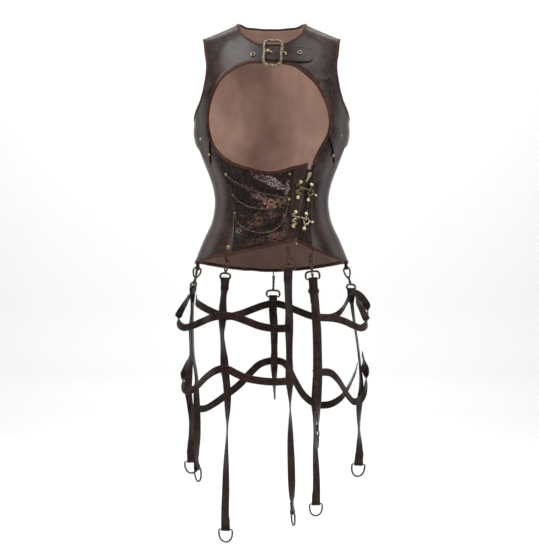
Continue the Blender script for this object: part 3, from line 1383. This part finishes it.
straps = {}
for name, strap in STRAPS.items():
    p, run, turn = strap_run(strap["rows"])
    across = square(upright(turn), run)
    top, low = p[0], p[-1]
    free = np.linalg.norm(p - top, axis=1) > FOLD_CLEAR
    if name != PLAIN_END:
        free &= np.linalg.norm(p - low, axis=1) > FOLD_CLEAR
    body = p[free] + unit(np.cross(across[free], run[free])) * FOLD_OFF
    up = fold_at(top, run[0], across[0])
    points, sides = [up, body], [np.tile(across[0], (len(up), 1)), across[free]]
    if name != PLAIN_END:
        down = fold_at(low, -run[-1], -across[-1])[::-1]
        points.append(down)
        sides.append(np.tile(across[-1], (len(down), 1)))
    else:
        points.append((p[-1] + unit(np.cross(across[-1], run[-1])) * FOLD_OFF)[None])
        sides.append(across[-1:])
    points, sides = np.concatenate(points), np.concatenate(sides)
    ribbon(points, sides, STRAP_WIDE, "strap_" + name)
    straps[name] = {"top": top, "low": low, "run": run, "across": across, **strap}
print("straps:", len(straps))

# %% Bands
for name, rows in BANDS.items():
    p, run, lean = strap_run(rows)
    up = square(np.tile([0.0, 0.0, 1.0], (len(p), 1)), run)
    lean = np.radians(lean)[:, None]
    up = up * np.cos(lean) + np.cross(run, up) * np.sin(lean)
    ribbon(p, up, BAND_WIDE, "band_" + name)
print("bands:", len(BANDS))

# %% The hem's binding with its eight loops
TAB_WIDE, TAB_WALL = 8, 1.2
TAB_SIDE_ROWS = [(0, -2.6, 0.75), (1, -5.5, 0.75), (1, -0.6, 3), (1, 2.3, 2.3)]
TAB_FOLD = TAB_SIDE_ROWS + [(1, 3.2, 0)] + [(d, b, -o) for d, b, o in TAB_SIDE_ROWS[::-1]]
hem_strip = tube(bound_edge_rings(hem))
for name, strap in straps.items():
    centre = np.array(strap["eye"], float)
    start = hem["p"][np.argmin(np.linalg.norm(hem["p"] - centre, axis=1))]
    down = centre - start
    along = unit(down)
    across = square(upright(strap["turn"]), unit(strap["top"] - centre))
    out = unit(np.cross(across, along))
    points = np.array([start + down * d + out * o + along * b for d, b, o in TAB_FOLD])
    points = smooth_run(points, 1.5)[0]
    join(hem_strip, tube(strip_rings(points, across[None], TAB_WIDE, TAB_WALL)))
piece = dress(hem_strip, "binding_hem", "_strip", [bound_edge], slot="bound_edge")
length = float(hem_line["length"][-1]) * MM
declare_strip(piece, 2 * BIND_WIDE, length)
print("hem binding:", round(length * 1000), "mm")

# %% The neck strap
# x, top, foot
NECK_STRAP = [
    (-22, -46, -79), (2, -46, -79.5), (28, -46, -81), (54, -46, -83), (74, -47, -83),
    (85, -50, -80.5), (91, -54.5, -76), (94, -60, -70.5),
]
# name, x, z, under
EYELETS = [("right", -42, -64, 1), ("middle", 27.5, -65, 4.3), ("left", 61.5, -61, 4.3)]
STRAP_OUT = 3.3
across_strap = np.linspace(0, 1, 13)
x_strap = np.interp(np.linspace(0, 7, 57), range(8), [r[0] for r in NECK_STRAP])
top_z = read([(r[0], r[1]) for r in NECK_STRAP], x_strap)
foot_z = read([(r[0], r[2]) for r in NECK_STRAP], x_strap)
strap_grid = np.stack([place(x_strap, top_z + (foot_z - top_z) * t) for t in across_strap])
leather_panel("collar_strap", strap_grid, [smooth_leather], out=lambda p: STRAP_OUT, roll=0.6)
print("neck strap:", round(x_strap[-1] - x_strap[0]), "mm long")

# %% [markdown]
# ## Metal fittings
# Snap hooks and D-rings are bent from round wire, so each is one closed loop of wire, and the
# hook adds a swivel and a spring gate. The neck buckle and the two clasps are small castings,
# built here from twisted rods, scrolls and balls the way their wax models are.

# %% Makers of metal parts


def rod_rings(points, radius, loop=False, sides=12):
    """Rings round a line; radius may change along it."""
    P = np.array(points, float)
    n = len(P)
    run = heading(P, loop)
    side = unit(np.cross(run[0], [0, 0, 1.0] if abs(run[0][2]) < 0.9 else [1.0, 0, 0]))
    S = [side]
    for i in range(1, n):
        side = unit(side - side.dot(run[i]) * run[i])
        S.append(side)
    S = np.array(S)
    if loop:  # shares out the twist that is left after once round
        end = unit(S[-1] - S[-1].dot(run[0]) * run[0])
        twist = math.atan2(np.cross(end, S[0]).dot(run[0]), end.dot(S[0]))
        t = (np.arange(n) / n * twist)[:, None]
        S = S * np.cos(t) + np.cross(run, S) * np.sin(t)
    other = np.cross(run, S)
    angle = np.linspace(0, 2 * np.pi, sides, endpoint=False)[None, :, None]
    r = np.broadcast_to(np.asarray(radius, float), (n,))[:, None, None]
    return P[:, None] + r * (S[:, None] * np.cos(angle) + other[:, None] * np.sin(angle))


def add_rod(bm, points, radius, loop=False, sides=12):
    """Adds a round rod along a line."""
    join(bm, tube(rod_rings(points, radius, loop, sides), loop))


def add_ball(bm, centre, radius, fine=14, metal=0):
    """Adds a ball in one of the piece's metals."""
    part = bmesh.new()
    bmesh.ops.create_uvsphere(part, u_segments=fine, v_segments=fine // 2, radius=radius * MM)
    for face in part.faces:
        face.material_index = metal
    bmesh.ops.translate(part, verts=part.verts, vec=Vector(np.array(centre) * MM))
    join(bm, part)


def stance_on(s, lift=0.0):
    """The matrix that stands a part on a spot, its z pointing out of the surface."""
    stance = Matrix((s["right"], -s["down"], s["n"])).transposed().to_4x4()
    stance.translation = Vector((s["p"] + s["n"] * lift) * MM)
    return stance


def add_dome(bm, s, radius, high):
    """A rivet's head, spun from its half section and stood on the surface."""
    part = bmesh.new()
    outline = [(0, high), (0.45 * radius, 0.88 * high), (0.8 * radius, 0.5 * high), (radius, 0)]
    outline += [(radius, -0.8), (0, -0.8)]
    verts = [part.verts.new((x * MM, 0, z * MM)) for x, z in outline]
    edges = [part.edges.new(pair) for pair in zip(verts[:-1], verts[1:])]
    spun = {"axis": (0, 0, 1), "cent": (0, 0, 0), "steps": 16, "angle": 2 * math.pi}
    bmesh.ops.spin(part, geom=verts + edges, use_merge=True, **spun)
    bmesh.ops.remove_doubles(part, verts=part.verts, dist=1e-6)
    bmesh.ops.recalc_face_normals(part, faces=part.faces)
    bmesh.ops.transform(part, verts=part.verts, matrix=stance_on(s))
    join(bm, part)


def ring_on(s, radius, count):
    """Points once round a spot."""
    angle = np.linspace(0, 2 * np.pi, count, endpoint=False)
    return [at_spot(s, radius * math.cos(t), radius * math.sin(t)) for t in angle]


def smooth_loop(rows, centre, right, down, every=1.2):
    """A closed smooth line in a plane, from rows of right and down for its right half."""
    fine = 0.4
    half = list(rows)
    whole = half + [(-r, d) for r, d in half[::-1] if r > 0]
    P = np.array([centre + right * r + down * d for r, d in whole])
    line, _ = smooth_run(np.concatenate([P[-3:], P, P[:3]]), fine)
    gap, middle = np.linalg.norm(line - P[0], axis=1), len(line) // 2
    start, stop = np.argmin(gap[:middle]), middle + np.argmin(gap[middle:])
    return line[start : stop : max(1, round(every / fine))]


# %% D-rings, swinging on their straps' folded ends
D_ROWS = [
    (5, 0), (10.5, 0), (12.5, 0), (14.9, 1.4), (15.6, 6), (14.9, 14), (11.6, 21.8), (6, 26.8),
    (0, 28),
]
RING_WIRE, BOW_MORE, BOW_FROM = 1.6, 0.5, 5  # the bow grows thicker away from its bar
for name, strap in straps.items():
    if name == PLAIN_END:
        continue
    across, run = strap["across"][-1], strap["run"][-1]
    bm = bmesh.new()
    bow = smooth_loop(D_ROWS, strap["low"], across, run)
    below = np.clip((bow - strap["low"]).dot(run) / BOW_FROM, 0, 1)
    add_rod(bm, bow, RING_WIRE + BOW_MORE * below, loop=True)
    ring = "dring_" + name
    dress(bm, ring, "_wire", [gunmetal], ride=ring + "_body", slot="gunmetal")

# %% Snap hooks: eye, gate, swivel and the flat loop that holds the strap
EYE_ROWS = [(5, 0), (7.8, 2.4), (8.5, 8), (7, 14), (3, 21)]
EYE_HIGH, EYE_WIRE, LOOP_MORE, LOOP_FROM = 21, 2.0, 0.8, 4
STUD_RIGHT, STUD_DOWN, STUD = 8.6, 6.5, 2.0  # the gate's thumb stud
# The swivel's radius, from the eye down to the loop.
SWIVEL = 1.6 + 1.5 * np.array([0, 0.7, 1, 1, 0.7, 0.4, 0.4, 0.9, 1, 1, 0.6, 0.3, 0])
for name, strap in straps.items():
    wide, high = strap["loop"]
    centre, top = np.array(strap["eye"], float), strap["top"]
    down = unit(top - centre)
    across = square(upright(strap["turn"]), down)
    top_across = strap["across"][0]
    loop_down = square(down, top_across)
    half = wide / 2
    loop_rows = [(3, -high), (half - 3, -high + 1.5), (half, -high / 2 - 1), (half - 0.4, -2.8)]
    loop_rows += [(half - 2.2, 0), (half - 3.8, 0), (3, 0)]  # the lower bar is straight
    bm = bmesh.new()
    add_rod(bm, smooth_loop(EYE_ROWS, centre, across, down), EYE_WIRE, loop=True)
    oblong = smooth_loop(loop_rows, top, top_across, loop_down)
    above = np.clip(-(oblong - top).dot(loop_down) / LOOP_FROM, 0, 1)
    add_rod(bm, oblong, RING_WIRE + LOOP_MORE * above, loop=True)
    start, end = centre + down * (EYE_HIGH - 2), top + loop_down * (0.6 - high)
    share = np.linspace(0, 1, len(SWIVEL))[:, None]
    add_rod(bm, start + (end - start) * share, SWIVEL, sides=14)
    add_ball(bm, centre + across * STUD_RIGHT + down * STUD_DOWN, STUD)
    dress(bm, "hook_" + name, "_cast", [bronze], slot="bronze")
print("hooks:", len(straps))

# %% The neck buckle: a twisted oblong frame with beads, a lower point and a curled tongue
BUCKLE = (2, -65, 9.4)
FRAME_ROWS = [
    (0, -32.7), (11, -33.5), (18, -28.5), (20, -16), (18.8, 0), (20, 16), (17.5, 28.5),
    (10, 33.5), (0, 34.5),
]
buckle = spot(*BUCKLE)
frame_line = smooth_loop(FRAME_ROWS, buckle["p"], buckle["right"], buckle["down"], 0.8)
bm = bmesh.new()
turns = np.arange(len(frame_line)) / len(frame_line) * 2 * np.pi
CORE, TWISTS, STRAND_OUT, STRAND, SWELL = 2.5, 15, 2.1, 1.8, 0.6
add_rod(bm, frame_line, CORE, loop=True)
side = np.cross(heading(frame_line, loop=True), buckle["n"])
for start in (0, np.pi):
    coil = turns * TWISTS + start
    round_core = side * np.cos(coil)[:, None] + buckle["n"] * np.sin(coil)[:, None]
    radius = STRAND + SWELL * np.sin(coil * 2)
    add_rod(bm, frame_line + STRAND_OUT * round_core, radius, loop=True, sides=8)
# right, down, size; each bead beside the middle has its pair on the left
BEADS = [
    (0, -33, 2.6), (8, -34, 1.9), (17, -29, 2.6), (20, -14, 1.9), (20, 14, 1.9), (17, 29, 2.6),
    (9, 34, 1.9), (0, 35.4, 3.3), (0, 39, 1.8),
]
for right, down, size in BEADS:
    for x in sorted({-right, right}):
        add_ball(bm, at_spot(buckle, x, down), size)
dress(bm, "buckle_frame", "_cast", [buckle_brass], slot="antique_brass")
bm = bmesh.new()
from_bar = -13.9  # the tongue turns on the frame's right bar
tongue = [(from_bar, -4, 0), (from_bar + 6, -4, 0.4), (-1, -4, -3.6)]
tongue, _ = smooth_run([at_spot(buckle, *row) for row in tongue], 1.0)
add_rod(bm, tongue, np.linspace(1.5, 1.0, len(tongue)))
curl = [(from_bar + 1, -4, 0), (from_bar + 0.4, -6.5, 0.8), (from_bar + 3, -8, 1)]
curl += [(from_bar + 4.6, -6.2, 1)]
add_rod(bm, smooth_run([at_spot(buckle, *row) for row in curl], 0.7)[0], 1.0)
dress(bm, "buckle_tongue", "_cast", [pale_gold], slot="antique_brass")

# %% Eyelets, with the dark hole inside each
EYELET, EYELET_WIRE, EYELET_OUT, HOLE_IN = 4.3, 1.25, 1.6, -1.15
HOLE, HOLE_DEEP = 3.6 * MM, 0.5 * MM
for name, x, z, under in EYELETS:
    s = spot(x, z, under + EYELET_OUT)
    bm = bmesh.new()
    add_rod(bm, ring_on(s, EYELET, 28), EYELET_WIRE, loop=True)
    dress(bm, "eyelet_" + name, "_brass", [old_gold], slot="antique_brass")
    disc = bmesh.new()
    bmesh.ops.create_cone(
        disc, cap_ends=True, segments=24, radius1=HOLE, radius2=HOLE, depth=HOLE_DEEP
    )
    bmesh.ops.transform(disc, verts=disc.verts, matrix=stance_on(s, HOLE_IN))
    publish(disc, "eyelet_hole_" + name, [hole])
print("eyelets:", len(EYELETS))

# %% The clasps over the zip
# Spots by x and z; each arm of a catch ends in a big or a small ball.
CLASPS = {
    "upper": {
        "plate": [(63.4, -348.5), (57, -383.5)],
        "scroll": [
            (63.4, -349), (57.5, -357), (64.5, -363), (55.5, -370), (62, -376), (57, -383),
        ],
        "catch": [(85.5, -353.5, "big"), (79, -389, "big"), (95.5, -377, "small")],
        "ring": (84, -371), "arm": (64, -361),
    },
    "lower": {
        "plate": [(52.4, -417), (47.6, -449)],
        "scroll": [
            (52.4, -417.5), (47.5, -424.5), (54, -430.5), (46.5, -437), (52, -442.5),
            (47.6, -448.5),
        ],
        "catch": [(74.5, -421, "big"), (70.3, -455, "big"), (88.6, -439.5, "small")],
        "ring": (75.5, -437.5), "arm": (54.5, -428),
    },
}
BIG_BALL, SMALL_BALL, BALL_OUT, CAST_OUT, ARM_OUT = 4.4, 3.0, 6.3, 4.6, 9.4
HOOP, HOOP_WIRE, SPOKE, ARM, LEAF = 6.6, 1.9, 2.0, 1.6, 0.75
SPIRAL = list(zip(np.linspace(0, 3.6 * np.pi, 30), np.linspace(1.0, 4.8, 30)))
for name, clasp in CLASPS.items():
    metals = [dark_brass if name == "upper" else old_gold, pale_gold]
    slot = "antique_brass" if name == "upper" else "pale_gold"
    bm = bmesh.new()
    for x, z in clasp["plate"]:
        add_ball(bm, spot(x, z, BALL_OUT)["p"], BIG_BALL, 20, metal=1)
    line, _ = smooth_run([spot(x, z, CAST_OUT + 1)["p"] for x, z in clasp["scroll"]], 0.8)
    add_rod(bm, line, 1.5 + 0.7 * np.sin(np.linspace(0, 5 * np.pi, len(line))) ** 2)
    for i, (x, z) in enumerate(clasp["scroll"]):
        leaf = spot(x, z, CAST_OUT)
        coil = [at_spot(leaf, t * math.cos(a + i), t * math.sin(a + i), 0.6) for a, t in SPIRAL]
        add_rod(bm, coil, LEAF, sides=8)
    hoop = spot(*clasp["ring"], CAST_OUT)
    (ax, az), (rx, rz) = clasp["arm"], clasp["ring"]
    arm_line = [
        spot(ax, az, CAST_OUT + 1)["p"],
        spot(ax + (rx - ax) * 0.35, az + (rz - az) * 0.2, ARM_OUT)["p"],
        at_spot(hoop, -HOOP, -2, ARM_OUT - CAST_OUT),
        at_spot(hoop, -1.5, 0, 2.6),
    ]
    add_rod(bm, smooth_run(arm_line, 0.8)[0], ARM)
    dress(bm, "clasp_" + name + "_plate", "_cast", metals, slot=slot)
    bm = bmesh.new()
    add_rod(bm, ring_on(hoop, HOOP, 30), HOOP_WIRE, loop=True)
    for x, z, size in clasp["catch"]:
        out, radius = (BALL_OUT, BIG_BALL) if size == "big" else (CAST_OUT + 0.6, SMALL_BALL)
        add_ball(bm, spot(x, z, out)["p"], radius, 20, metal=1)
        foot = spot(x, z, CAST_OUT)["p"]
        rim = hoop["p"] + unit(foot - hoop["p"]) * HOOP
        add_rod(bm, np.linspace(foot, rim, 6), SPOKE)
    dress(bm, "clasp_" + name + "_catch", "_cast", metals, slot=slot)
print("clasps:", list(CLASPS))

# %% [markdown]
# ## The zip
# A metal zip is a row of small teeth clamped on two woven tapes. The teeth are one template
# repeated down the line, and the slider and its pull stand near the top.

# %% Zip


def copies(template, stances, name, materials, node_names=(), **keep):
    """One mesh of many copies of a template bmesh, each set by a 4 by 4 matrix."""
    data = bpy.data.meshes.new(name)
    template.to_mesh(data)
    template.free()
    bm = bmesh.new()
    for stance in stances:
        scrap = data.copy()
        scrap.transform(Matrix(stance.tolist()))
        bm.from_mesh(scrap)
        bpy.data.meshes.remove(scrap)
    bpy.data.meshes.remove(data)
    return publish(bm, name, materials, node_names, **keep)


def stance_at(p, x, y, z):
    """A 4 by 4 matrix from a point in millimetres and three directions."""
    M = np.eye(4)
    M[:3, 0], M[:3, 1], M[:3, 2], M[:3, 3] = x, y, z, np.array(p) * MM
    return M


ZIP_TOP, ZIP_END, TOOTH_EVERY, TOOTH_OFF, TAPE_HALF, TAPE_IN = -321.0, -477.0, 1.5, 0.9, 6, 1.2
zip_z = np.arange(ZIP_TOP, ZIP_END, -TOOTH_EVERY)
zip_spots = spot(zip_at(zip_z), zip_z)
zip_p, zip_n = zip_spots["p"], zip_spots["n"]
zip_down = unit(np.gradient(zip_p, axis=0))
zip_across = np.cross(zip_down, zip_n)
zip_across *= np.sign(zip_across[:, :1])
tooth = bmesh.new()
bmesh.ops.create_cube(tooth, size=1)
bmesh.ops.scale(tooth, vec=(3.4 * MM, 1.1 * MM, 2.2 * MM), verts=tooth.verts)
bmesh.ops.bevel(
    tooth, geom=tooth.edges[:], offset=0.25 * MM, segments=1, profile=0.5, affect="EDGES",
    material=-1,
)
teeth = []
for i, p in enumerate(zip_p):
    p = p + zip_across[i] * (TOOTH_OFF if i % 2 else -TOOTH_OFF)
    teeth.append(stance_at(p, zip_across[i], zip_down[i], zip_n[i]))
copies(tooth, teeth, "zip_teeth", [bronze], ["zip_chain"], slot="antique_brass")
shares = np.linspace(-1, 1, 7)[None, :, None]
tape_points = zip_p[:, None] + zip_across[:, None] * shares * TAPE_HALF - zip_n[:, None] * TAPE_IN
zip_tape = publish(bent_grid(tape_points), "zip_tape", [tape])
zip_tape.modifiers.new("wall", "SOLIDIFY").thickness = 0.4 * MM
declare(zip_tape, tape_points)

slider = spot(zip_at(-334), -334)
SLIDER = [(-8, 2.2), (-7, 3.4), (-5, 4.7), (0, 4.9), (3, 4.5), (7, 3.4), (8, 2.6)]
bridge = [(-6, 4.6), (-3.6, 6.4), (1.5, 5.4), (4, 4.6)]


def along_slider(rows, section):
    """A tube over the zip, from rows of down and half width and a section of right and out."""
    return tube(np.array([
        [at_spot(slider, right, down, out) for right, out in section(half)] for down, half in rows
    ]))


bm = along_slider(SLIDER, lambda half: [
    (-half, 1.9), (half, 1.9), (half, 3.8), (half - 0.9, 5), (-half + 0.9, 5), (-half, 3.8)
])
add_rod(bm, smooth_run([at_spot(slider, 0, d, o) for d, o in bridge], 0.7)[0], 0.8, sides=8)
dress(bm, "zip_slider", "_cast", [antique_brass], slot="antique_brass")
PULL = [(-2, 1.6), (-1, 2.1), (0.4, 2.4), (5, 2.7), (8, 3), (13, 3), (15, 2.5), (16, 1.4)]
bm = along_slider(PULL, lambda half: [
    (-half, 6.15), (-half + 0.3, 5.9), (half - 0.3, 5.9), (half, 6.15), (half, 6.85),
    (half - 0.3, 7.1), (-half + 0.3, 7.1), (-half, 6.85),
])
dress(bm, "zip_pull", "_cast", [antique_brass], ride="zip_pull_body", slot="antique_brass")
print("zip teeth:", len(teeth))

# %% [markdown]
# ## Chains, rivets and stitches
# Chain links are closed ovals of wire, each turned a quarter from the one before. They are one
# template set along the line drawn at the start. Rivets hold the laps, and rows of stitches
# run beside every bound edge and seam.

# %% Chain links
link = bmesh.new()
angle = np.linspace(0, 2 * np.pi, 12, endpoint=False)
oval = np.stack([np.cos(angle) * 2.6, np.sin(angle) * 1.55, angle * 0], -1)
add_rod(link, oval, 0.42, loop=True, sides=6)
link_data = bpy.data.meshes.new("link")
link.to_mesh(link_data)
link.free()
for name, (path, run) in chain_paths.items():
    template = bmesh.new()
    template.from_mesh(link_data)
    body_out = spot(path[:, 0], path[:, 2])["n"]
    stances = []
    for i, (p, along) in enumerate(zip(path, run)):
        side = unit(np.cross(body_out[i], along))
        up = np.cross(along, side)
        tilt = math.radians(40 if i % 2 else -50)
        y = side * math.cos(tilt) + up * math.sin(tilt)
        stances.append(stance_at(p, along, y, np.cross(along, y)))
    chain = "chain_" + name
    links = copies(
        template, stances, chain + "_links", [chain_metal], [chain], slot="antique_brass"
    )
    metres = path * MM
    length = float(lengths(metres)[-1])
    print("chain", name, round(length * 1000), "mm")

# %% Rivets
# x, z, radius, lift
RIVETS = [
    (-157.8, -248.9, 3.4, LAP), (-137.9, -283.9, 3.4, LAP), (153.4, -242.4, 3.4, LAP),
    (135.9, -286.3, 3.4, LAP), (-102.6, -331.4, 3.6, 0), (40.2, -331.9, 3.0, 0),
    (38.7, -387.3, 4.0, 0), (-96.9, -494.9, 4.2, 0), (55.3, -487.6, 2.8, 0),
    (-86, -377, 2.6, 0), (-82, -418, 2.6, 0), (36, -399, 2.6, 0),
]
bm = bmesh.new()
for x, z, radius, lift in RIVETS:
    add_dome(bm, spot(x, z, LEATHER / 2 + lift), radius, radius * 0.55)
publish(bm, "rivets", [antique_brass])
print("rivets:", len(RIVETS))

# %% Stitches
STITCH_EVERY, ON_BINDING, ON_LEATHER = 3.6, 1.85, LEATHER / 2 + 0.05
# panel, column
SEAM_STITCHES = [
    ("side_right", -2), ("front_panel", 1), ("front_panel", -2), ("placket_right", 1),
    ("placket_left", -2), ("side_left", 1),
]


def stitch_stances(places, lift):
    """Stitches at even steps along a row of places on the surface."""
    p = on_body(places)
    length = lengths(p)
    at = np.arange(STITCH_EVERY / 2, length[-1], STITCH_EVERY)
    s = stand(np.stack([np.interp(at, length, column) for column in places.T], -1))
    raised = np.interp(at, length, lift(p)) if callable(lift) else np.full(len(at), lift)
    points = s["p"] + s["n"] * raised[:, None]
    run = unit(np.gradient(points, axis=0))
    side = unit(np.cross(s["n"], run))
    return [stance_at(*row) for row in zip(points, run, side, np.cross(run, side))]


rows = []
around_arm = [slice(0, ARM_CELLS + 1), slice(ARM_CELLS, 2 * ARM_CELLS)]
around_neck = [slice(0, 2 * NECK_CELLS + 1), slice(2 * NECK_CELLS + 1, 4 * NECK_CELLS)]
edges = [bust, hem] + [some(edge, part) for edge in (arm[1], arm[-1]) for part in around_arm]
for edge in edges + [some(neck, part) for part in around_neck]:
    rows += stitch_stances(inside(edge, BIND_WIDE - 1.5), ON_BINDING)
for grid, column in SEAM_STITCHES:
    rows += stitch_stances(grids[grid][2:-1, column], ON_LEATHER)
for name in ("yoke_right", "yoke_left"):
    tab = grids[name][-2, NECK_CELLS + RIDGE_CELLS + ARM_CELLS :]
    rows += stitch_stances(tab, lambda p: lap(p) + ON_LEATHER)
for row in (1, -2):
    rows += stitch_stances(strap_grid[row, 4:-1], STRAP_OUT + ON_LEATHER)
stitch = bmesh.new()
bmesh.ops.create_uvsphere(stitch, u_segments=6, v_segments=4, radius=1)
bmesh.ops.rotate(stitch, verts=stitch.verts, matrix=Matrix.Rotation(math.pi / 2, 3, "Y"))
bmesh.ops.scale(stitch, vec=(1.35 * MM, 0.42 * MM, 0.34 * MM), verts=stitch.verts)
copies(stitch, rows, "stitches", [thread])
print("stitches:", len(rows))

# %% Report and finish
print("cuts (mm wide, mm long, cm2):", cuts)
